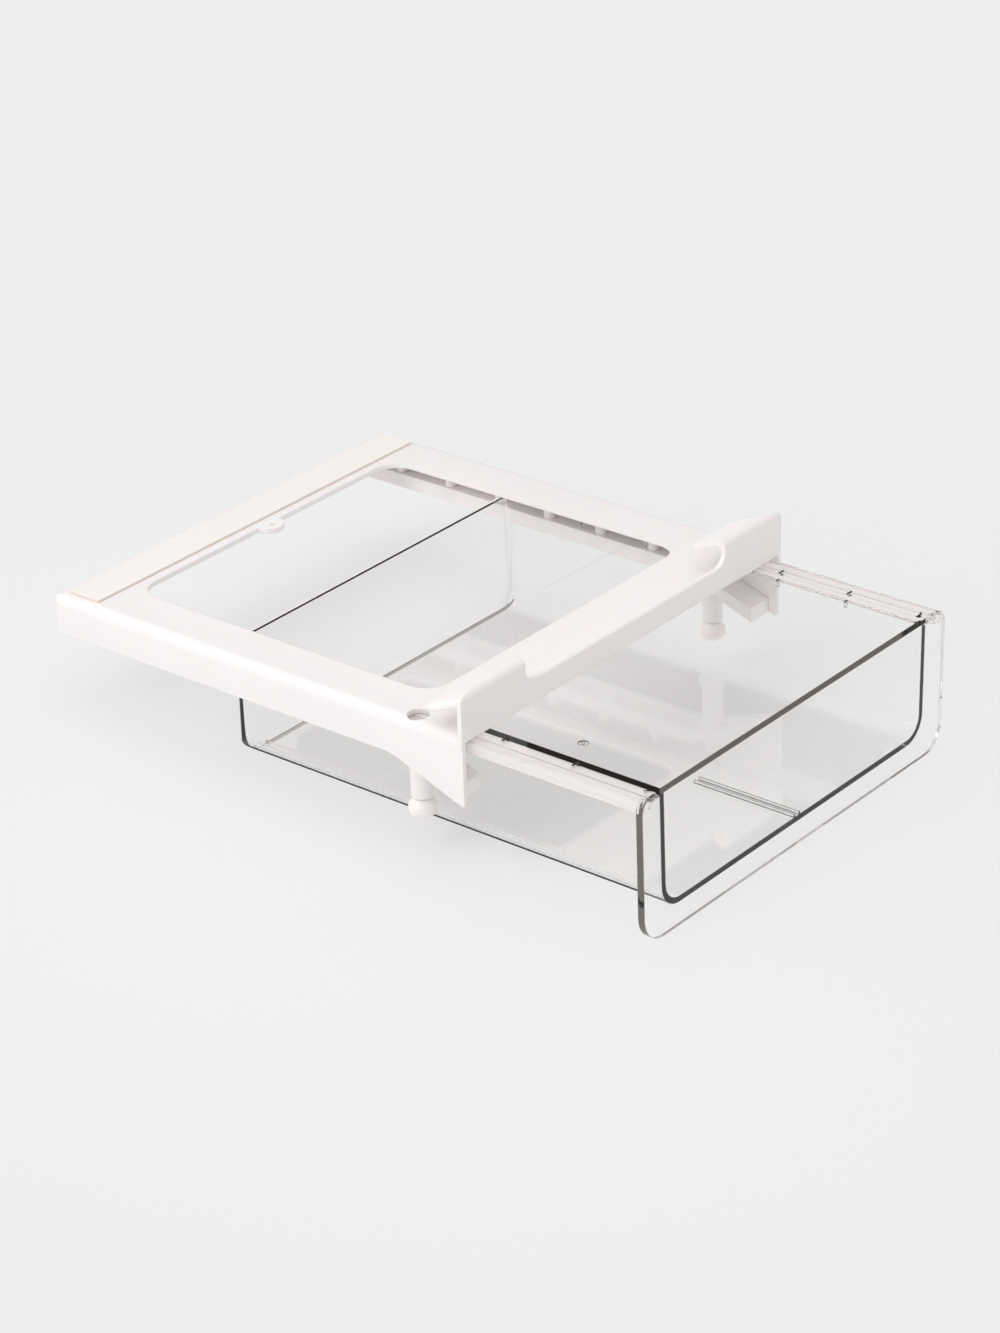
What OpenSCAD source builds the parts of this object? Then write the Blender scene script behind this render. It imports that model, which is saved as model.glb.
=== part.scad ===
// Under-shelf refrigerator drawer: a white moulded frame that hooks over the front edge of a shelf
// and sticks to its underside, with a clear drawer hanging in two rails.
// Millimetres. X runs across the front, Y runs from the front to the back, Z is up.
// The origin is the bottom centre of the whole object with the drawer pulled out by pull_out.

/* [Drawer] */
// How far the drawer stands out of the frame
pull_out = 82; // [20:1:150]
// Length of the drawer, from the face of its front plate to the outside of its back wall
drawer_l = 213.5; // [170:1:260]
// Width of the front plate at its top
front_w = 200; // [180:1:230]
// Thickness of the front plate
front_t = 3; // [2:0.1:4]
// Radius of the front plate's bottom corners
front_r = 12; // [6:0.5:16]
// Radius of the front plate's top corners
front_top_r = 4.5; // [2:0.5:6]
// How much the front plate narrows on each side towards its bottom edge
front_taper = 0.7; // [0:0.1:1.5]
// Height of the drawer's rim above the bottom edge of its front plate
rim_h = 60.6; // [52:0.1:80]
// Height of the tub's underside above the bottom edge of the front plate
tub_lift = 9; // [5:0.5:14]
// Thickness of the tub's walls
wall = 2.4; // [1.6:0.1:3]
// Thickness of the tub's floor
floor_t = 2.4; // [1.6:0.1:3]
// Draft angle of the tub's walls and of the posts
draft = 1; // [0:0.1:2]
// Outside radius of the tub's two long bottom edges
tub_r = 11; // [5:0.5:14]
// Outside radius of the tub's back bottom edge and of its upright back corners
tub_back_r = 5; // [3.5:0.5:8]
// Width of the flange on each side of the tub
flange_w = 11.1; // [10:0.1:13]
// Thickness of the flange
flange_t = 2.2; // [1.6:0.1:3]
// Thickness of the flange's turned-down lip
lip_t = 2; // [1.4:0.1:2.5]
// How far the lip hangs below the flange's top
lip_drop = 5; // [4:0.1:6]
// Outside radius between flange and lip
lip_r = 2.6; // [1:0.1:3.5]
// Height of the two beads that run along the flange's top
bead_h = 0.6; // [0.3:0.1:1]
// Width of the inner bead
bead_w = 3.6; // [2:0.1:4.5]
// Flat between the tub's wall and the inner bead
bead_inset = 3.1; // [2:0.1:3.5]
// Width of the groove between the two beads
groove_w = 1.8; // [1:0.1:2.5]
// Distance between the flange's cross ribs, one of which is in its middle
rib_pitch = 33.4; // [20:0.2:60]
// Length of the two divider ribs on the floor
divider_l = 48; // [20:1:90]
// Gap between the two divider ribs
divider_gap = 2.2; // [1:0.1:4]
// Diameter of the moulding gate's recess in the floor's underside
gate_d = 4.4; // [3:0.1:6]

/* [Frame] */
// Clearance between the front plate and the frame's side walls
side_gap = 1; // [0.6:0.1:2]
// Thickness of the top plate
plate_t = 2; // [1.5:0.1:3]
// Thickness of the frame's side and back walls
side_t = 2; // [1.5:0.1:3]
// Radius of the frame's long top edges
edge_r = 4.2; // [1:0.1:4.5]
// Radius of the frame's two back corners, seen from above
back_r = 5; // [3:0.5:10]
// Height of the side walls, from the top plate's top to their bottom edge
side_h = 16.5; // [14:0.5:20]
// How far the front toes reach below the side walls' bottom edge
toe_drop = 13; // [6:0.5:18]
// Length of the toes' sloping edge, along Y
toe_l = 36; // [25:1:38]
// Plate between the sides and the window
window_side = 22.7; // [20:0.1:50]
// Radius of the window's corners
window_r = 11; // [4:0.5:30]
// Plate between the front face and the window
window_front = 34; // [24:0.5:60]
// Plate between the window and the back
window_back = 26.5; // [21:0.5:50]
// Radius of the tab in the middle of the window's back edge
tab_r = 6.5; // [5:0.5:12]
// Diameter of the tab's hole
tab_hole_d = 2.4; // [1.5:0.1:4]
// Diameter of the two holes above the stop pins
pin_hole_d = 8.8; // [7:0.1:9]
// Distance of those holes' axes from the side walls' inner faces
pin_hole_inset = 4.6; // [4.6:0.1:6]
// How far those holes' axes lie in front of the stop pins' axes
pin_hole_lead = 1.2; // [0:0.1:3]

/* [Fascia and hooks] */
// Thickness of the fascia
fascia_t = 2.2; // [1.8:0.1:3.5]
// How far the fascia stands above the top plate
fascia_rise = 8; // [4:0.5:10]
// Length of each hook along X
hook_l = 38.5; // [20:0.5:60]
// Height of the hooks' sharp front corner above the top plate
hook_rise = 19.8; // [16:0.1:26]
// Depth of the hooks, from the fascia's face to the jaw's tip
jaw_depth = 17; // [10:0.5:22]
// Angle at which the jaws slope down to their tips
jaw_angle = 23.4; // [5:0.2:26]
// Thickness of the jaws
jaw_t = 2.4; // [2:0.1:4]
// Outside radius of the hooks' front corner
hook_r = 3; // [2:0.5:6]
// How much the jaws droop at their outer ends
jaw_droop = 2.9; // [1:0.1:4]
// Outside radius of the jaws' outer ends
jaw_r = 2; // [1:0.1:2.4]

/* [Rails] */
// Upright gap between the flange's lip and the rails
rail_gap = 2.3; // [1.5:0.1:3.5]
// Clearance between the tub's wall and the rails
tub_gap = 0.7; // [0.4:0.1:1.5]
// Wall thickness of the rails
rail_wall = 1.8; // [1.2:0.1:2.2]
// Diameter of the glide pins
glide_d = 5.2; // [3:0.1:5.4]
// Number of glide pins in each rail
glide_n = 6; // [3:1:8]
// Distance between neighbouring glide pins
glide_pitch = 27.6; // [20:0.1:29]
// Distance from the fascia's face to the first glide pin
glide_first = 56; // [48:0.5:60]
// Thickness of the bosses' floor under the glide pins
glide_seat = 1.5; // [1:0.1:2.5]

/* [Stop pins] */
// Diameter of the posts that hold the stop pins
post_d = 9.4; // [8.4:0.1:10.4]
// Distance from the fascia's face to the stop pins' axes
post_y = 28; // [20:0.5:30]
// Distance of the stop pins' axes from the side walls' inner faces
post_inset = 6.3; // [5.2:0.1:6.6]
// How far the posts reach below the side walls' bottom edge
post_drop = 20; // [16:0.2:26]
// Diameter of the stop pins' shafts
pin_d = 5; // [4:0.1:5.4]
// Diameter of the knobs
knob_d = 11.3; // [9:0.1:14]
// Height of the knobs
knob_h = 7.2; // [6:0.1:9]

/* [Tape] */
// Plate between the tape's ends and the frame's sides
tape_side = 5; // [4:0.5:30]
// Width of the tape along Y
tape_w = 15.6; // [8:0.2:18]
// Plate between the tape and the frame's back
tape_back = 6.5; // [4:0.5:8]
// Thickness of the tape's foam
foam_t = 0.9; // [0.5:0.1:2]
// Thickness of the tape's release liner
liner_t = 0.2; // [0.1:0.05:0.4]

/* [Fits] */
// Upright clearance between the drawer and what it slides on or under
glide_gap = 0.3; // [0.2:0.05:0.5]
// Clearance between the closed drawer and the frame's back wall
back_gap = 0.5; // [0.3:0.1:1]
// Radial clearance of the stop pins in their posts
pin_fit = 0.08; // [0.02:0.01:0.1]

/* [Hidden] */

white = [0.95, 0.93, 0.925];
cream = [0.96, 0.91, 0.85];
clear = [0.86, 0.9, 0.9, 0.35];
smooth = 48;   // facets of a full circle
small = 24;    // facets of a full circle under 3 mm in radius
far = 400;     // longer than anything here

// The drawer's sections
bead_top = rim_h + bead_h;
tub_half = front_w / 2 - front_taper - flange_w - 0.5;
flange_half = tub_half + flange_w;
flange_z = rim_h - flange_t;
flange_l = drawer_l - 2;
lip_z = rim_h - lip_drop;
bead_x = tub_half + bead_inset;
groove_x = bead_x + bead_w;
stop_lug_t = 2.5;
gate_depth = 0.6;
rib_t = 1;
rib_count = floor((flange_l / 2 - 10) / rib_pitch);   // on each side of the middle one

// The frame's widths, heights and depths
frame_w = front_w + 2 * (side_gap + side_t);
half_w = frame_w / 2;
inner_x = half_w - side_t;
frame_d = drawer_l + back_gap + side_t;
inner_y = frame_d - side_t;
plate_z = bead_top + glide_gap;
plate_top = plate_z + plate_t;
side_z = plate_top - side_h;
toe_z = side_z - toe_drop;
toe_slope = toe_drop / toe_l;
bend_r = 25;
hook_x = half_w - hook_l;
hook_z = plate_top + hook_rise;
droop_run = hook_l / 2;   // the jaws droop over their outer halves
droop_r = (droop_run * droop_run + jaw_droop * jaw_droop) / (2 * jaw_droop);
fascia_z = plate_top + fascia_rise;

// The rails' sections
rail_x = tub_half + tub_gap;
rail_z = lip_z - rail_gap;
rail_front = front_t + 0.8;
rail_back = frame_d - back_r - 0.3;
ramp_end = toe_l + 4;
ramp_slope = 0.89 * toe_slope;
glide_x = rail_x + glide_d / 2 + 0.9;
glide_top = flange_z - glide_gap;
gusset_x = glide_x - glide_d / 2 - glide_gap;   // the ribs' gussets pass beside the glide pins
post_x = inner_x - post_inset;
post_z = side_z - post_drop;
stop_lug_z = rail_z + 0.5;
pin_tip = lip_z - 0.4;

// Y of the fascia's face, with the object's middle at Y = 0
fascia_y = (pull_out - frame_d) / 2;

// An outline through points p, counter-clockwise, each corner rounded by its radius in r.
module outline(p, r) {
    n = len(p);
    turn = [for (i = [0:n - 1]) cross(p[i] - p[(i + n - 1) % n], p[(i + 1) % n] - p[i])];
    difference() {
        union() {
            polygon(p);
            for (i = [0:n - 1])
                if (r[i] > 0 && turn[i] < 0) nook(p[(i + n - 1) % n], p[i], p[(i + 1) % n], r[i]);
        }
        for (i = [0:n - 1])
            if (r[i] > 0 && turn[i] > 0) nook(p[(i + n - 1) % n], p[i], p[(i + 1) % n], r[i]);
    }
}

// What lies between a sharp corner b, with a and c beside it, and its rounding.
module nook(a, b, c, r) {
    u = unit(a - b);
    v = unit(c - b);
    half = acos(u * v) / 2;
    centre = b + unit(u + v) * r / sin(half);
    difference() {
        polygon([centre, b + u * r / tan(half), b - unit(u + v) * 0.5, b + v * r / tan(half)]);
        translate(centre) circle(r, $fn = r < 3 ? small : smooth);
    }
}

function unit(v) = v / norm(v);

// The same outline as points, with convex corners only, for forms that lean and taper.
function rounded(p, r) = let (n = len(p))
    [for (i = [0:n - 1]) each arc(p[(i + n - 1) % n], p[i], p[(i + 1) % n], r[i])];

function arc(a, b, c, r) = let (
    u = unit(a - b),
    half = acos(u * unit(c - b)) / 2,
    centre = b + unit(u + unit(c - b)) * r / sin(half),
    from = b + u * r / tan(half) - centre,
    steps = r > 6 ? 8 : 6)
    r == 0 ? [b] : [for (i = [0:steps]) let (t = (180 - 2 * half) * i / steps)
        centre + [from.x * cos(t) - from.y * sin(t), from.x * sin(t) + from.y * cos(t)]];

// Solids drawn as a front view (X, Z), a side view (Y, Z) or a plan (X, Y).
module front_view(y0, y1) translate([0, y1, 0]) rotate([90, 0, 0]) linear_extrude(y1 - y0) children();
module side_view(x0, x1) translate([x0, 0, 0]) rotate([90, 0, 90]) linear_extrude(x1 - x0) children();
module plan(z0, z1) translate([0, 0, z0]) linear_extrude(z1 - z0) children();
module box(a, b) translate(a) cube(b - a);

// Y = 0 is the fascia's face in the frame, and the front plate's face in the drawer.
module in_frame() translate([0, fascia_y, 0]) children();
module in_drawer() translate([0, fascia_y - pull_out, 0]) children();

module both_sides() {
    children();
    mirror([1, 0, 0]) children();
}

module on_side(side) {
    if (side < 0) mirror([1, 0, 0]) children();
    else children();
}

// ---- Frame ----

// The side walls are level at the back and bend down to a toe at the front.
module side_outline() outline(
    [[0, toe_z], [toe_l, side_z], [frame_d, side_z], [frame_d, plate_top], [0, plate_top]],
    [1, bend_r, 1, edge_r, 0]);

module shell_block() intersection() {
    side_view(-half_w, half_w) side_outline();
    front_view(0, frame_d) outline(
        [[-half_w, toe_z], [half_w, toe_z], [half_w, plate_top], [-half_w, plate_top]],
        [0, 0, edge_r, edge_r]);
    plan(toe_z, plate_top) outline(
        [[-half_w, 0], [half_w, 0], [half_w, frame_d], [-half_w, frame_d]],
        [0, 0, back_r, back_r]);
}

module shell_hollow() plan(0, plate_z) outline(
    [[-inner_x, -far], [inner_x, -far], [inner_x, inner_y], [-inner_x, inner_y]],
    [0, 0, back_r - side_t, back_r - side_t]);

module window_cut() {
    half = half_w - window_side;
    back = frame_d - window_back;
    difference() {
        plan(plate_z - 1, plate_top + 1) outline(
            [[-half, window_front], [half, window_front], [half, back], [-half, back]],
            [window_r, window_r, window_r, window_r]);
        translate([0, back, 0]) cylinder(r = tab_r, h = far, $fn = smooth);
    }
    translate([0, back - 0.35 * tab_r, plate_z - 1])
        cylinder(d = tab_hole_d, h = plate_t + 2, $fn = smooth);
}

// The fascia's front view, with a hook standing up at each end.
module fascia_outline() outline(
    [[-half_w, plate_top - edge_r], [-inner_x, plate_top - edge_r], [-inner_x, plate_z],
     [inner_x, plate_z], [inner_x, plate_top - edge_r], [half_w, plate_top - edge_r],
     [half_w, hook_z], [hook_x, hook_z], [hook_x, fascia_z],
     [-hook_x, fascia_z], [-hook_x, hook_z], [-half_w, hook_z]],
    [0, 0, 0, 0, 0, 0, 0, 0, 5, 5, 0, 0]);

// Side view of a hook's outside: the fascia turns back over the shelf into a sloping jaw.
module hook_outline(low) outline(
    [[0, low], [jaw_depth, low], [jaw_depth, hook_z - jaw_depth * tan(jaw_angle)], [0, hook_z]],
    [0, 0, 1, hook_r]);

// Seen along the jaws, which slope back from the hooks' front corner. Z is 0 at their top.
module along_jaw() translate([0, 0, hook_z]) rotate([-jaw_angle, 0, 0])
    front_view(-jaw_depth, 2 * jaw_depth) children();

// All that lies deeper than depth under the jaws' top, which droops outwards.
module below_jaw(depth) along_jaw() {
    translate([0, -droop_r - far]) square([half_w - droop_run, droop_r + far - depth]);
    translate([half_w - droop_run, -droop_r]) {
        circle(droop_r - depth, $fn = 2 * smooth);
        translate([0, -far]) square([droop_run + 1, far]);
    }
}

// What the rounding of the jaw's outer end takes away.
module jaw_end() along_jaw() nook(
    [half_w - droop_r + jaw_droop, droop_run - jaw_droop], [half_w, -jaw_droop], [half_w, -far], jaw_r);

// The right hook, from the middle of the fascia outwards.
module hook() {
    root = hook_z - (jaw_t + fascia_t * sin(jaw_angle)) / cos(jaw_angle);
    difference() {
        intersection() {
            union() {
                intersection() {
                    front_view(0, fascia_t) fascia_outline();
                    side_view(0, half_w) hook_outline(plate_z - edge_r);
                }
                difference() {
                    side_view(hook_x, half_w) hook_outline(fascia_z);
                    below_jaw(jaw_t);
                }
                side_view(hook_x, half_w)
                    nook([fascia_t, 0], [fascia_t, root], [far, root - far * tan(jaw_angle)], 2);
            }
            below_jaw(0);
        }
        jaw_end();
    }
}

module fascia_and_hooks() difference() {
    both_sides() hook();
    side_view(5 - hook_x, hook_x - 5) {
        nook([0, 0], [0, fascia_z], [fascia_t, fascia_z], 1);
        nook([0, fascia_z], [fascia_t, fascia_z], [fascia_t, 0], 1);
    }
}

module top_frame() color(white) in_frame() union() {
    difference() {
        shell_block();
        shell_hollow();
        window_cut();
        both_sides() translate([inner_x - pin_hole_inset, post_y - pin_hole_lead, plate_z - 1])
            cylinder(d = pin_hole_d, h = plate_t + 2, $fn = smooth);
    }
    fascia_and_hooks();
}

// ---- Rails ----

function ramp_z(y) = rail_z - (ramp_end - y) * ramp_slope;
function under_z(y) = min(side_z, toe_z + toe_slope * y);
function glide_y(i) = glide_first + glide_pitch * i;

module rail_outline() polygon(
    [[rail_front, under_z(rail_front)], [toe_l, side_z], [rail_back, side_z],
     [rail_back, rail_z], [ramp_end, rail_z], [rail_front, ramp_z(rail_front)]]);

// The channel inside a rail, open below.
module rail_hollow() {
    front = rail_front + rail_wall;
    back = rail_back - rail_wall;
    side_view(rail_x + rail_wall, inner_x - rail_wall) polygon(
        [[front, 0], [back, 0], [back, rail_z - rail_wall],
         [ramp_end, rail_z - rail_wall], [front, ramp_z(front) - rail_wall]]);
}

// The bosses and cross ribs that stiffen the channel.
module rail_bosses() {
    for (i = [0:glide_n - 1])
        translate([glide_x, glide_y(i), 0]) cylinder(d = glide_d + 2 * rail_wall, h = far, $fn = smooth);
    for (i = [0:glide_n - 2])
        translate([rail_x, glide_y(i + 0.5), 0]) cube([inner_x - rail_x, rail_wall / 2, far]);
    translate([post_x, post_y, 0]) cylinder(d = post_d, h = far, $fn = smooth);
}

module rail_post() {
    top = under_z(post_y + post_d / 2) + 0.3;
    translate([post_x, post_y, 0]) rotate_extrude($fn = smooth) outline(
        [[0, post_z], [post_d / 2 - (top - post_z) * tan(draft), post_z], [post_d / 2, top], [0, top]],
        [0, 1.2, 0, 0]);
}

module rail(side) color(white) in_frame() on_side(side) difference() {
    union() {
        intersection() {
            side_view(rail_x, inner_x) rail_outline();
            union() {
                difference() {
                    box([0, 0, 0], [inner_x, frame_d, far]);
                    rail_hollow();
                }
                rail_bosses();
            }
        }
        rail_post();
    }
    translate([post_x, post_y, 0]) cylinder(r = pin_d / 2 + pin_fit, h = far, $fn = smooth);
    for (i = [0:glide_n - 1])
        translate([glide_x, glide_y(i), side_z + glide_seat]) cylinder(d = glide_d, h = far, $fn = smooth);
}

module glide_pin(side, number) {
    r = glide_d / 2;
    color(white) in_frame() on_side(side) translate([glide_x, glide_y(number - 1), 0])
        rotate_extrude($fn = small) outline(
            [[0, side_z + glide_seat], [r, side_z + glide_seat], [r, glide_top], [0, glide_top]],
            [0, 0, 0.8, 0]);
}

// ---- Stop pins ----

module stop_pin(side) {
    r = pin_d / 2;
    top = post_z - glide_gap;
    bottom = top - knob_h;
    color(white) in_frame() on_side(side) translate([post_x, post_y, 0])
        rotate_extrude($fn = smooth) outline(
            [[0, bottom], [knob_d / 2 - 1.2, bottom], [knob_d / 2, bottom + 1.8], [knob_d / 2, top - 2.5],
             [r + 0.8, top], [r, top], [r, pin_tip], [0, pin_tip]],
            [0, 0.8, 1.4, 1.4, 0, 0, 0.6, 0]);
}

// ---- Tape ----

module tape(z, thickness) {
    half = half_w - tape_side;
    back = frame_d - tape_back;
    in_frame() plan(z, z + thickness) outline(
        [[-half, back - tape_w], [half, back - tape_w], [half, back], [-half, back]],
        [0.5, 0.5, 0.5, 0.5]);
}

module tape_foam() color(cream) tape(plate_top, foam_t);
module tape_liner() color(cream) tape(plate_top + foam_t, liner_t);

// ---- Drawer ----

// The tub's block, shrunk by t at its sides and back, and by up at its underside.
module tub_block(t, up, front, high) {
    low = tub_lift + up;
    lean = (rim_h - low) * tan(draft);
    spread = (high - rim_h) * tan(draft);
    half = tub_half - t;
    back = drawer_l - t;
    ease = 0.1;   // the upright corners stand just outside the leaning walls
    intersection() {
        front_view(front, drawer_l) polygon(rounded(
            [[lean - half, low], [half - lean, low], [half + spread, high], [-half - spread, high]],
            [tub_r - t, tub_r - t, 0, 0]));
        side_view(-front_w / 2, front_w / 2) polygon(rounded(
            [[-far, low], [back - lean, low], [back + spread, high], [-far, high]],
            [0, tub_back_r - t, 0, 0]));
        translate([0, back + ease, 0]) plan(0, high) polygon(rounded(
            [[-half - ease, -far], [half + ease, -far], [half + ease, 0], [-half - ease, 0]],
            [0, 0, tub_back_r - t, tub_back_r - t]));
    }
}

module front_plate() difference() {
    half = front_w / 2;
    front_view(0, front_t) outline(
        [[front_taper - half, 0], [half - front_taper, 0], [half, bead_top], [-half, bead_top]],
        [front_r, front_r, front_top_r, front_top_r]);
    box([-bead_x, -1, rim_h], [bead_x, front_t + 1, far]);
    both_sides() groove_cut();
}

module groove_cut() box([groove_x, -1, rim_h], [groove_x + groove_w, far, far]);

// One flange: a plate with a turned-down lip, two beads on top, cross ribs and lugs.
module flange() {
    root = tub_half - wall / 2;
    lip_x = flange_half - lip_t;
    difference() {
        front_view(0, flange_l) outline(
            [[root, flange_z], [lip_x, flange_z], [lip_x, lip_z], [flange_half, lip_z],
             [flange_half, bead_top], [bead_x, bead_top], [bead_x, rim_h], [root, rim_h]],
            [0, 0.6, 0.6, 0.6, lip_r, 0, 0, 0]);
        groove_cut();
    }
    for (i = [-rib_count:rib_count]) cross_rib(flange_l / 2 + rib_pitch * i);
    box([groove_x + 0.4, flange_l - stop_lug_t, stop_lug_z], [flange_half, flange_l, flange_z + 0.5]);
    box([groove_x - 1, front_t - 0.5, flange_z - 2.2], [groove_x + 0.2, front_t + 3, flange_z + 0.5]);
}

// A short rib across the flat beside the inner bead, and a gusset below it.
module cross_rib(y) {
    box([tub_half, y - rib_t / 2, rim_h - 0.5], [bead_x + bead_w / 2, y + rib_t / 2, bead_top]);
    box([tub_half - wall / 2, y - rib_t / 2, lip_z], [gusset_x, y + rib_t / 2, flange_z + 0.5]);
}

module divider_ribs() both_sides()
    box([divider_gap / 2, front_t - 0.5, tub_lift + floor_t - 0.5],
        [divider_gap / 2 + 1, front_t + divider_l, tub_lift + floor_t + 1.2]);

// The recess that the moulding's gate leaves, with its stub.
module gate_recess() translate([0, flange_l / 2, tub_lift]) difference() {
    cylinder(d = gate_d, h = 2 * gate_depth, center = true, $fn = smooth);
    cylinder(d = gate_d / 3, h = 2 * gate_depth + 1, center = true, $fn = smooth);
}

module drawer() color(clear) in_drawer() union() {
    difference() {
        union() {
            tub_block(0, 0, front_t / 2, rim_h);
            front_plate();
            both_sides() flange();
        }
        tub_block(wall, floor_t, front_t, bead_top + 1);
        gate_recess();
    }
    divider_ribs();
}

top_frame();
rail(-1);  // left_rail
rail(1);  // right_rail
glide_pin(-1, 1);  // left_glide_pin_1
glide_pin(-1, 2);  // left_glide_pin_2
glide_pin(-1, 3);  // left_glide_pin_3
glide_pin(-1, 4);  // left_glide_pin_4
glide_pin(-1, 5);  // left_glide_pin_5
glide_pin(-1, 6);  // left_glide_pin_6
glide_pin(1, 1);  // right_glide_pin_1
glide_pin(1, 2);  // right_glide_pin_2
glide_pin(1, 3);  // right_glide_pin_3
glide_pin(1, 4);  // right_glide_pin_4
glide_pin(1, 5);  // right_glide_pin_5
glide_pin(1, 6);  // right_glide_pin_6
stop_pin(-1);  // left_stop_pin
stop_pin(1);  // right_stop_pin
tape_foam();
tape_liner();
drawer();
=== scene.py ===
import math
import bpy
from mathutils import Matrix, Vector


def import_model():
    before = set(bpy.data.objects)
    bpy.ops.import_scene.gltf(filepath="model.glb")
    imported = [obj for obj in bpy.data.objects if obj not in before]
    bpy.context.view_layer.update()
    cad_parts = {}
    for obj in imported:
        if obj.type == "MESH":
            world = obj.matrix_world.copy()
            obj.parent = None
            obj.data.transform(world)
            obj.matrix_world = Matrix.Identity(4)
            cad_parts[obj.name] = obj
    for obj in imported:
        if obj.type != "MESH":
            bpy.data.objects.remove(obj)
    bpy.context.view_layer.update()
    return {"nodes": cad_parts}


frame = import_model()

# Millimetres to metres. Lengths are in metres.
MM = 0.001

# ---------------------------------------------------------------- numbers of the mouldings

# The bump that both plastics have, as strength and distance.
MOULDED_BUMP = (0.02, 0.2 * MM)

# The white plastic's colours and roughness, each spread by a noise of this scale.
WHITE_LOW, WHITE_HIGH = (0.95, 0.895, 0.885), (0.965, 0.915, 0.905)
WHITE_CLOUDS = 14.0
WHITE_ROUGHNESS = (0.285, 0.315)
WHITE_GRAIN = 160.0
WHITE_IOR = 1.5
# How far light spreads inside it, in red, green and blue, and the share that does.
WHITE_SPREAD = (1.0, 0.6, 0.5)
WHITE_SPREAD_SCALE = 4 * MM
WHITE_SPREAD_SHARE = 0.3
# The radius with which its sharp edges shine.
WHITE_EDGE = 0.5 * MM

# The same of the clear plastic.
CLEAR_LOW, CLEAR_HIGH = (0.985, 0.985, 0.98), (0.995, 0.995, 0.99)
CLEAR_CLOUDS = 9.0
CLEAR_IOR = 1.49
CLEAR_EDGE = 0.6 * MM
# What light loses inside it, and what light on matt surfaces loses at each of its faces.
CLEAR_TINT = (0.86, 0.87, 0.86)
CLEAR_DENSITY = 16.0
CLEAR_SHADOW = (0.985, 0.98, 0.977)

# Where the drawer's flanges begin, beside the tub and above its walls.
FLANGE_FROM = 0.0895
FLANGE_ABOVE = 0.0575
# How far back the front plate reaches, and where its sides begin.
PLATE_BACK = -0.146
PLATE_SIDES = 0.0875

# Light that is reflected more often than this is caught, and the painted glows it ends in:
# painted light in the flanges and painted shade elsewhere.
CAUGHT_AFTER = 2.5
PAINTED_CAUGHT_IN_PLATE = (0.14, 0.13, 0.12)
PAINTED_DARK_SHADE = (0.03, 0.028, 0.026)
PAINTED_CAUGHT_IN_FLANGE = (0.74, 0.68, 0.66)
PAINTED_CAUGHT_IN_TUB = (0.002, 0.002, 0.002)

# The share of the flanges' surface that scatters light, with its colour and roughness.
HAZE_SHARE = 0.42
HAZE_COLOUR = (0.95, 0.9, 0.885)
HAZE_ROUGHNESS = 0.2

# The matt parts of the tub's rim, on its right wall and its back wall, and their colour.
RIM_RIGHT = (0.0850, 0.0878)
RIM_BEHIND = (0.0633, 0.0650)
RIM_ABOVE = 0.0603
RIM_COLOUR = (0.80, 0.765, 0.755)

# The tub's rounded long edges lie below this height and face down and sideways by at least this
# much. They get a painted dark shade, a glow, where they turn this far away from the eye.
EDGE_BELOW = 0.02
EDGE_FACES = 0.15
EDGE_TURN = 0.7
EDGE_SHADE_COLOUR = (0.06, 0.055, 0.053)

# The line along which the floor's inside, which faces up, turns into the back wall, where a
# painted dark line stands for shade.
CREASE = (0.0588, 0.0596)
CREASE_BELOW = 0.0125
CREASE_FACES = 0.1
CREASE_SHADE_COLOUR = (0.25, 0.235, 0.23)

# The flanges' cross ribs: the first one's place, their pitch, where they get a painted dark line,
# a painted shade, and half of that line's width.
FIRST_RIB = -0.11005
RIB_PITCH = 0.0334
RIB_DARK = (0.0877, 0.0915)
RIB_HALF = 0.5 * MM

# The tops of the two divider ribs on the floor, and where they end.
DIVIDER = (0.0014, 0.0017)
DIVIDER_TOP = (0.0120, 0.0136)
DIVIDER_END = -0.0975

# Fine painted dark lines, a painted shade, along the drawer's sharp edges: their width, the
# cosine of the bend that makes a line, the share of the surface that they take, and their colour.
LINE_WIDTH = 0.35 * MM
LINE_BEND = 0.94
LINE_SHARE = 0.45
LINE_SHADE_COLOUR = (0.25, 0.225, 0.215)

# ---------------------------------------------------------------- numbers of the tape

# Each layer's colours, and its lower roughness.
FOAM = ((0.80, 0.69, 0.60), (0.85, 0.75, 0.67), 0.6)
LINER = ((0.93, 0.885, 0.845), (0.945, 0.905, 0.87), 0.45)
TAPE_ROUGHNESS_SPAN = 0.08
TAPE_GRAIN = 900.0
TAPE_GRAIN_DETAIL = 4.0
TAPE_BUMP = (0.1, 0.1 * MM)

# ---------------------------------------------------------------- numbers of the stage

# The photograph's even background.
BACKDROP = (0.855, 0.855, 0.855)
# The floor gives this share of it by itself near the object, and all of it far away.
NEAR_GLOW, FAR_GLOW = 0.4, 1.0
NEAR, FAR = 0.12, 0.42

FLOOR_LOW, FLOOR_HIGH = (0.855, 0.855, 0.855), (0.865, 0.865, 0.865)
FLOOR_CLOUDS = 3.0
FLOOR_ROUGHNESS = 0.7
FLOOR_SPECULAR = 0.2
FLOOR_HALF = 6.0
FLOOR_GAP = 0.4 * MM
# The drawer stands on the lower edge of its front plate and on the tub's back edge.
FRONT_FOOT = Vector((0, -0.146, 0.0))
BACK_FOOT = Vector((0, 0.0598, 0.0090))

# What shines or refracts shows a pale studio that is dark around one direction: the dark begins
# and is full where the cosine to that direction reaches these values.
STUDIO, STUDIO_LEVEL = (1.0, 0.97, 0.96), 0.8
STUDIO_DARK = (0.2, 0.175, 0.165)
DARK_SIDE = Vector((0.68, 0.57, 0.45))
DARK_EDGE = (0.75, 0.92)
# The room's light on matt surfaces, and its level from the front and from behind.
ROOM = (0.99, 1.0, 1.01)
ROOM_LEVEL = (0.6, 0.92)
LAMP_COLOUR = (1.0, 0.95, 0.94)

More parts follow.
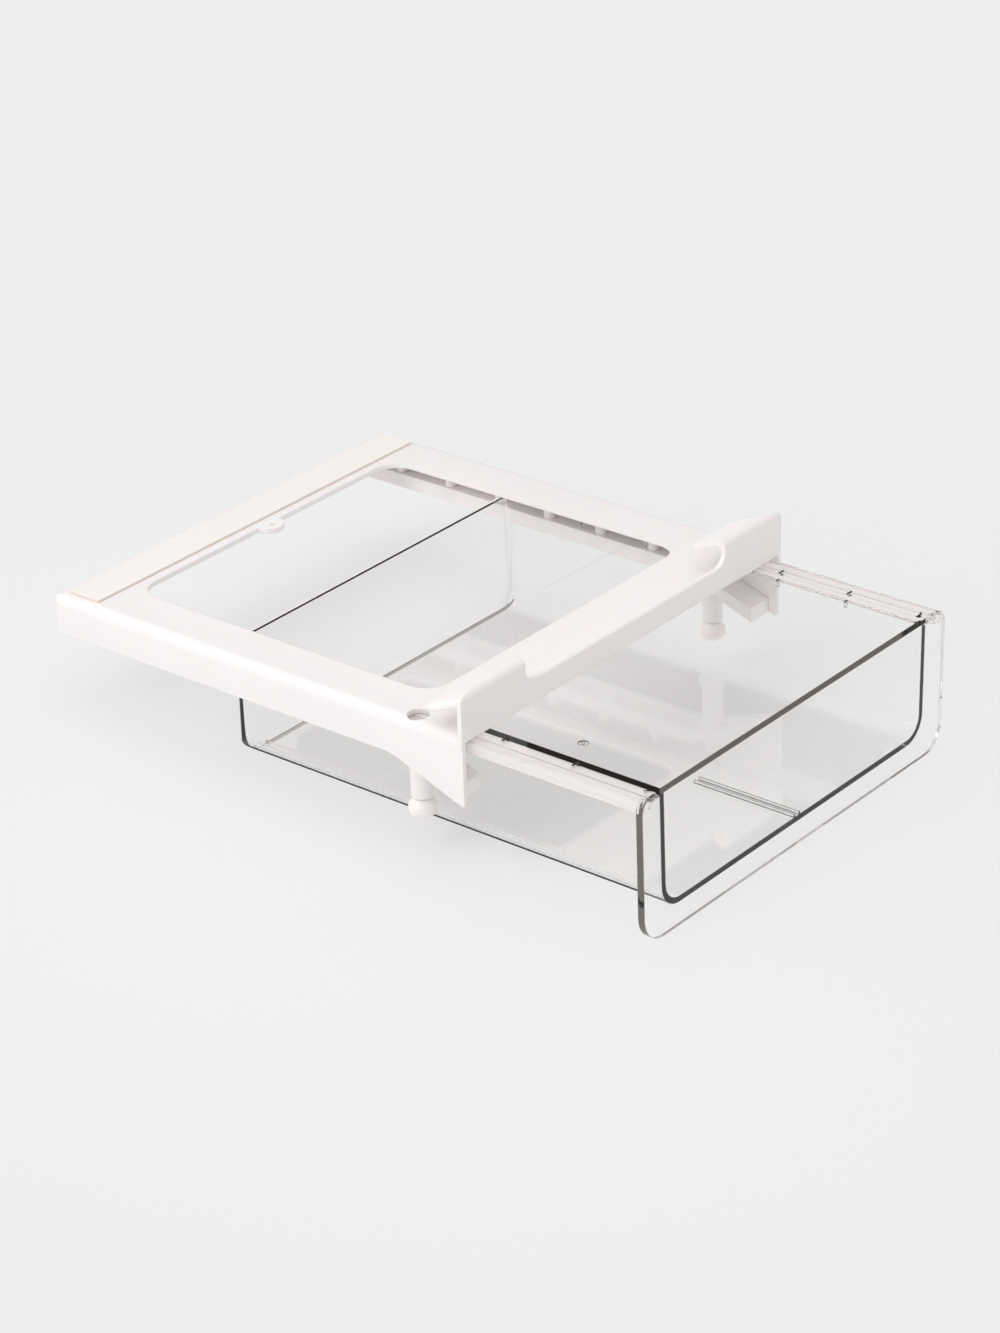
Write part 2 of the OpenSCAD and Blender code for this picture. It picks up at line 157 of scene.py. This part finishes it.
# The photograph's camera, solved from the straight edges of frame and drawer: its place,
# measured from the foot of the frame's front face, its axes, and its focal length in pixels.
MEASURED_FROM = Vector((0, -0.067, 0))
CAMERA_PLACE = Vector((-1.08602, -0.84595, 0.74834))
CAMERA_RIGHT = Vector((0.632256, -0.774271, -0.027514))
CAMERA_DOWN = Vector((-0.364745, -0.266137, -0.892263))
CAMERA_AHEAD = Vector((0.683531, 0.574174, -0.450678))
FOCAL_LENGTH = 3919.8
PHOTO_HEIGHT = 1333
SENSOR_MM = 36.0
CAMERA_REACH = 50
# In the photograph the frame is turned a little against the drawer; the camera shares that out.
HALF_TURN = 0.006

# ---------------------------------------------------------------- shader nodes

# The noise's factors between which a ramp runs, and the rays of a rounded edge.
RAMP_ENDS = (0.3, 0.7)
BEVEL_SAMPLES = 4


class Graph:
    """The nodes of a material or a world, with short ways to add and link them."""

    def __init__(self, owner):
        owner.use_nodes = True
        self.nodes, self.links = owner.node_tree.nodes, owner.node_tree.links
        self.nodes.clear()

    def add(self, kind, inputs=None, **settings):
        """Adds a node; each of its inputs is a plain value or another node's output."""
        node = self.nodes.new("ShaderNode" + kind)
        for name, value in settings.items():
            setattr(node, name, value)
        for key, value in (inputs or {}).items():
            if isinstance(value, bpy.types.NodeSocket):
                self.links.new(value, node.inputs[key])
            else:
                node.inputs[key].default_value = value
        return node

    # Surfaces.

    def mix(self, factor, first, second):
        return self.add("MixShader", {0: factor, 1: first, 2: second}).outputs[0]

    def glow(self, colour):
        return self.add("Emission", {"Color": (*colour, 1)}).outputs[0]

    # Numbers.

    def math(self, operation, *values):
        return self.add("Math", dict(enumerate(values)), operation=operation).outputs[0]

    def over(self, value, limit):
        """1 where the value is over the limit, else 0."""
        return self.math("GREATER_THAN", value, limit)

    def under(self, value, limit):
        """1 where the value is under the limit, else 0."""
        return self.math("LESS_THAN", value, limit)

    def within(self, value, low, high):
        """1 where the value lies between low and high, else 0."""
        return self.math("COMPARE", value, (low + high) / 2, (high - low) / 2)

    def all_of(self, first, *others):
        for other in others:
            first = self.math("MULTIPLY", first, other)
        return first

    def any_of(self, first, *others):
        for other in others:
            first = self.math("MAXIMUM", first, other)
        return first

    def dot(self, first, second):
        return self.add("VectorMath", {0: first, 1: second},
                        operation="DOT_PRODUCT").outputs["Value"]

    def spread(self, value, low, high, to=(0.0, 1.0), curve="SMOOTHSTEP"):
        """What lies between low and high, spread between the two numbers of to."""
        return self.add("MapRange", {"Value": value, "From Min": low, "From Max": high,
                                     "To Min": to[0], "To Max": to[1]},
                        interpolation_type=curve).outputs["Result"]

    # Textures.

    def noise(self, scale, detail=2.0):
        """A noise's factor, in the object's own metres."""
        place = self.add("TexCoord").outputs["Object"]
        return self.add("TexNoise",
                        {"Vector": place, "Scale": scale, "Detail": detail}).outputs["Fac"]

    def ramp(self, factor, low, high):
        """Spreads a factor between two colours or two grey levels."""
        node = self.add("ValToRGB", {"Fac": factor})
        for element, place, value in zip(node.color_ramp.elements, RAMP_ENDS, (low, high)):
            element.position = place
            element.color = (value, value, value, 1) if isinstance(value, float) else (*value, 1)
        return node.outputs["Color"]

    def rounded(self, radius):
        """The normal of the surface as if its sharp edges had this radius."""
        return self.add("Bevel", {"Radius": radius}, samples=BEVEL_SAMPLES).outputs["Normal"]

    def bump(self, height, strength, distance, edge=None):
        """A bump's normal, over rounded edges where a radius is given."""
        inputs = {"Height": height, "Strength": strength, "Distance": distance}
        if edge:
            inputs["Normal"] = self.rounded(edge)
        return self.add("Bump", inputs).outputs["Normal"]


# ---------------------------------------------------------------- materials


def white_plastic():
    mat = bpy.data.materials.new("white_moulding")
    graph = Graph(mat)
    clouds = graph.noise(WHITE_CLOUDS)
    plastic = graph.add("BsdfPrincipled", {
        "Base Color": graph.ramp(clouds, WHITE_LOW, WHITE_HIGH),
        "Roughness": graph.ramp(graph.noise(WHITE_GRAIN), *WHITE_ROUGHNESS),
        "Normal": graph.bump(clouds, *MOULDED_BUMP, edge=WHITE_EDGE),
        "Subsurface Weight": WHITE_SPREAD_SHARE,
        "Subsurface Radius": WHITE_SPREAD,
        "Subsurface Scale": WHITE_SPREAD_SCALE,
        "IOR": WHITE_IOR})
    graph.add("OutputMaterial", {"Surface": plastic.outputs[0]})
    return mat


def tape_material(name, low, high, roughness):
    mat = bpy.data.materials.new(name)
    graph = Graph(mat)
    grain = graph.noise(TAPE_GRAIN, TAPE_GRAIN_DETAIL)
    layer = graph.add("BsdfPrincipled", {
        "Base Color": graph.ramp(grain, low, high),
        "Roughness": graph.ramp(grain, roughness, roughness + TAPE_ROUGHNESS_SPAN),
        "Normal": graph.bump(grain, *TAPE_BUMP)})
    graph.add("OutputMaterial", {"Surface": layer.outputs[0]})
    return mat


def clear_plastic():
    mat = bpy.data.materials.new("clear_moulding")
    graph = Graph(mat)
    clouds = graph.noise(CLEAR_CLOUDS)
    glass = graph.add("BsdfPrincipled", {
        "Base Color": graph.ramp(clouds, CLEAR_LOW, CLEAR_HIGH),
        "Normal": graph.bump(clouds, *MOULDED_BUMP, edge=CLEAR_EDGE),
        "Roughness": 0.0,
        "IOR": CLEAR_IOR,
        "Transmission Weight": 1.0})

    path = graph.add("LightPath").outputs
    geometry = graph.add("NewGeometry").outputs
    coord = graph.add("TexCoord").outputs
    place = graph.add("SeparateXYZ", {0: coord["Object"]}).outputs
    facing = graph.add("SeparateXYZ", {0: coord["Normal"]}).outputs
    aside = graph.math("ABSOLUTE", place["X"])
    beside = graph.over(aside, FLANGE_FROM)
    above = graph.over(place["Z"], FLANGE_ABOVE)
    in_plate = graph.under(place["Y"], PLATE_BACK)
    not_plate = graph.over(place["Y"], PLATE_BACK)

    # Light that is caught between two faces ends in a painted glow: painted grey shade in the
    # middle of the front plate, painted pale light in the flanges, and painted dark shade
    # elsewhere.
    in_tub = graph.mix(graph.any_of(beside, above),
                       graph.glow(PAINTED_CAUGHT_IN_TUB), graph.glow(PAINTED_CAUGHT_IN_FLANGE))
    in_front = graph.mix(graph.over(aside, PLATE_SIDES),
                         graph.glow(PAINTED_CAUGHT_IN_PLATE), graph.glow(PAINTED_DARK_SHADE))
    caught = graph.over(path["Glossy Depth"], CAUGHT_AFTER)
    surface = graph.mix(caught, glass.outputs[0], graph.mix(in_plate, in_tub, in_front))

    # The moulded flanges are slightly hazy.
    haze = graph.add("BsdfPrincipled",
                     {"Base Color": (*HAZE_COLOUR, 1), "Roughness": HAZE_ROUGHNESS})
    share = graph.math("MULTIPLY", graph.all_of(beside, not_plate), HAZE_SHARE)
    surface = graph.mix(share, surface, haze.outputs[0])

    # The outside of the tub's long edges gets a painted dark shade where it turns away from the
    # eye.
    edge = graph.all_of(graph.under(place["Z"], EDGE_BELOW),
                        graph.under(facing["Z"], -EDGE_FACES),
                        graph.over(graph.math("ABSOLUTE", facing["X"]), EDGE_FACES),
                        graph.over(graph.add("LayerWeight").outputs["Facing"], EDGE_TURN),
                        graph.under(geometry["Backfacing"], 0.5),
                        not_plate)
    surface = graph.mix(edge, surface, graph.glow(EDGE_SHADE_COLOUR))

    # A fine painted dark line, a painted shade, lies along the crease behind the floor.
    painted_crease = graph.all_of(graph.within(place["Y"], *CREASE),
                          graph.under(place["Z"], CREASE_BELOW),
                          graph.over(facing["Z"], CREASE_FACES))
    surface = graph.mix(painted_crease, surface, graph.glow(CREASE_SHADE_COLOUR))

    # The flanges' cross ribs and the floor's divider ribs get painted dark lines, a painted
    # shade.
    from_rib = graph.math("PINGPONG", graph.math("ADD", place["Y"], -FIRST_RIB), RIB_PITCH / 2)
    ribs = graph.all_of(graph.under(from_rib, RIB_HALF), graph.within(aside, *RIB_DARK),
                        above, not_plate)
    dividers = graph.all_of(graph.within(aside, *DIVIDER), graph.within(place["Z"], *DIVIDER_TOP),
                            graph.under(place["Y"], DIVIDER_END), not_plate)
    surface = graph.mix(graph.any_of(ribs, dividers), surface, graph.glow(PAINTED_DARK_SHADE))

    # All sharp edges get a fine painted dark line, a painted shade.
    bend = graph.dot(graph.rounded(LINE_WIDTH), geometry["Normal"])
    painted_line = graph.math("MULTIPLY", graph.under(bend, LINE_BEND), LINE_SHARE)
    surface = graph.mix(painted_line, surface, graph.glow(LINE_SHADE_COLOUR))

    # Narrow strips of the rim are matt.
    strips = graph.any_of(graph.within(place["X"], *RIM_RIGHT),
                          graph.within(place["Y"], *RIM_BEHIND))
    matt = graph.add("BsdfDiffuse", {"Color": (*RIM_COLOUR, 1)})
    surface = graph.mix(graph.all_of(strips, graph.over(place["Z"], RIM_ABOVE), not_plate),
                        surface, matt.outputs[0])

    # Light that falls on matt surfaces goes straight through.
    lighting = graph.any_of(path["Is Shadow Ray"], path["Is Diffuse Ray"])
    pane = graph.add("BsdfTransparent", {"Color": (*CLEAR_SHADOW, 1)})
    tint = graph.add("VolumeAbsorption", {"Color": (*CLEAR_TINT, 1), "Density": CLEAR_DENSITY})
    graph.add("OutputMaterial", {"Surface": graph.mix(lighting, surface, pane.outputs[0]),
                                 "Volume": tint.outputs[0]})
    return mat


def paint():
    """Gives every CAD node its material."""
    white = white_plastic()
    others = {"drawer": clear_plastic(),
              "tape_foam": tape_material("tape_foam", *FOAM),
              "tape_liner": tape_material("tape_liner", *LINER)}
    for name, node in frame["nodes"].items():
        node.data.materials.clear()
        node.data.materials.append(others.get(name, white))


# ---------------------------------------------------------------- stage


def in_scene(name, data):
    obj = bpy.data.objects.new(name, data)
    bpy.context.scene.collection.objects.link(obj)
    return obj


def floor():
    """Soft shadows near the object, and an even backdrop all around it."""
    mesh = bpy.data.meshes.new("floor")
    corners = [(-1, -1), (1, -1), (1, 1), (-1, 1)]
    mesh.from_pydata([(x * FLOOR_HALF, y * FLOOR_HALF, 0) for x, y in corners],
                     [], [(0, 1, 2, 3)])
    obj = in_scene("floor", mesh)
    slope = math.atan2(BACK_FOOT.z - FRONT_FOOT.z, BACK_FOOT.y - FRONT_FOOT.y)
    middle = (FRONT_FOOT + BACK_FOOT) / 2
    obj.matrix_world = (Matrix.Translation(middle + Vector((0, 0, -FLOOR_GAP)))
                        @ Matrix.Rotation(slope, 4, "X"))

    mat = bpy.data.materials.new("floor")
    graph = Graph(mat)
    matt = graph.add("BsdfPrincipled", {
        "Base Color": graph.ramp(graph.noise(FLOOR_CLOUDS), FLOOR_LOW, FLOOR_HIGH),
        "Roughness": FLOOR_ROUGHNESS,
        "Specular IOR Level": FLOOR_SPECULAR})
    place = graph.add("TexCoord").outputs["Object"]
    away = graph.add("VectorMath", {0: place}, operation="LENGTH").outputs["Value"]
    share = graph.spread(away, NEAR, FAR, to=(NEAR_GLOW, FAR_GLOW))
    graph.add("OutputMaterial",
              {"Surface": graph.mix(share, matt.outputs[0], graph.glow(BACKDROP))})
    mesh.materials.append(mat)


def world():
    """White light all around, with one dark side in what shines or refracts."""
    bpy.context.scene.world = bpy.data.worlds.new("studio")
    graph = Graph(bpy.context.scene.world)

    def background(colour, level=1.0):
        return graph.add("Background", {"Color": (*colour, 1), "Strength": level}).outputs[0]

    direction = graph.add("TexCoord").outputs["Generated"]
    dark = graph.spread(graph.dot(direction, DARK_SIDE.normalized()), *DARK_EDGE)
    studio = graph.mix(dark, background(STUDIO, STUDIO_LEVEL), background(STUDIO_DARK))

    # The room is a little darker on the side that the object's front faces.
    back = graph.add("SeparateXYZ", {0: direction}).outputs["Y"]
    room = background(ROOM, graph.spread(back, -1.0, 1.0, to=ROOM_LEVEL, curve="LINEAR"))

    path = graph.add("LightPath").outputs
    sharp = graph.any_of(path["Is Glossy Ray"], path["Is Transmission Ray"])
    light = graph.mix(sharp, room, studio)
    graph.add("OutputWorld",
              {"Surface": graph.mix(path["Is Camera Ray"], light, background(BACKDROP))})


def area_light(name, place, target, size, watts):
    data = bpy.data.lights.new(name, "AREA")
    data.energy = watts
    data.color = LAMP_COLOUR
    data.size = size
    obj = in_scene(name, data)
    obj.location = place
    obj.rotation_euler = (Vector(target) - Vector(place)).to_track_quat("-Z", "Y").to_euler()


def camera():
    data = bpy.data.cameras.new("camera")
    data.sensor_fit = "AUTO"
    data.sensor_width = SENSOR_MM
    data.lens = FOCAL_LENGTH / PHOTO_HEIGHT * SENSOR_MM
    data.clip_end = CAMERA_REACH
    obj = in_scene("camera", data)
    axes = Matrix((CAMERA_RIGHT, -CAMERA_DOWN, -CAMERA_AHEAD)).transposed().to_4x4()
    obj.matrix_world = (Matrix.Translation(MEASURED_FROM) @ Matrix.Rotation(-HALF_TURN, 4, "Z")
                        @ Matrix.Translation(CAMERA_PLACE) @ axes)
    bpy.context.scene.camera = obj


paint()
floor()
world()
area_light("top", place=(-0.2, -0.3, 1.6), target=(0, 0, 0), size=1.3, watts=4.2)
area_light("left", place=(-1.2, 0.35, 1.15), target=(0, 0.03, 0.03), size=0.8, watts=7.2)
camera()

bpy.context.scene.view_settings.view_transform = "Standard"
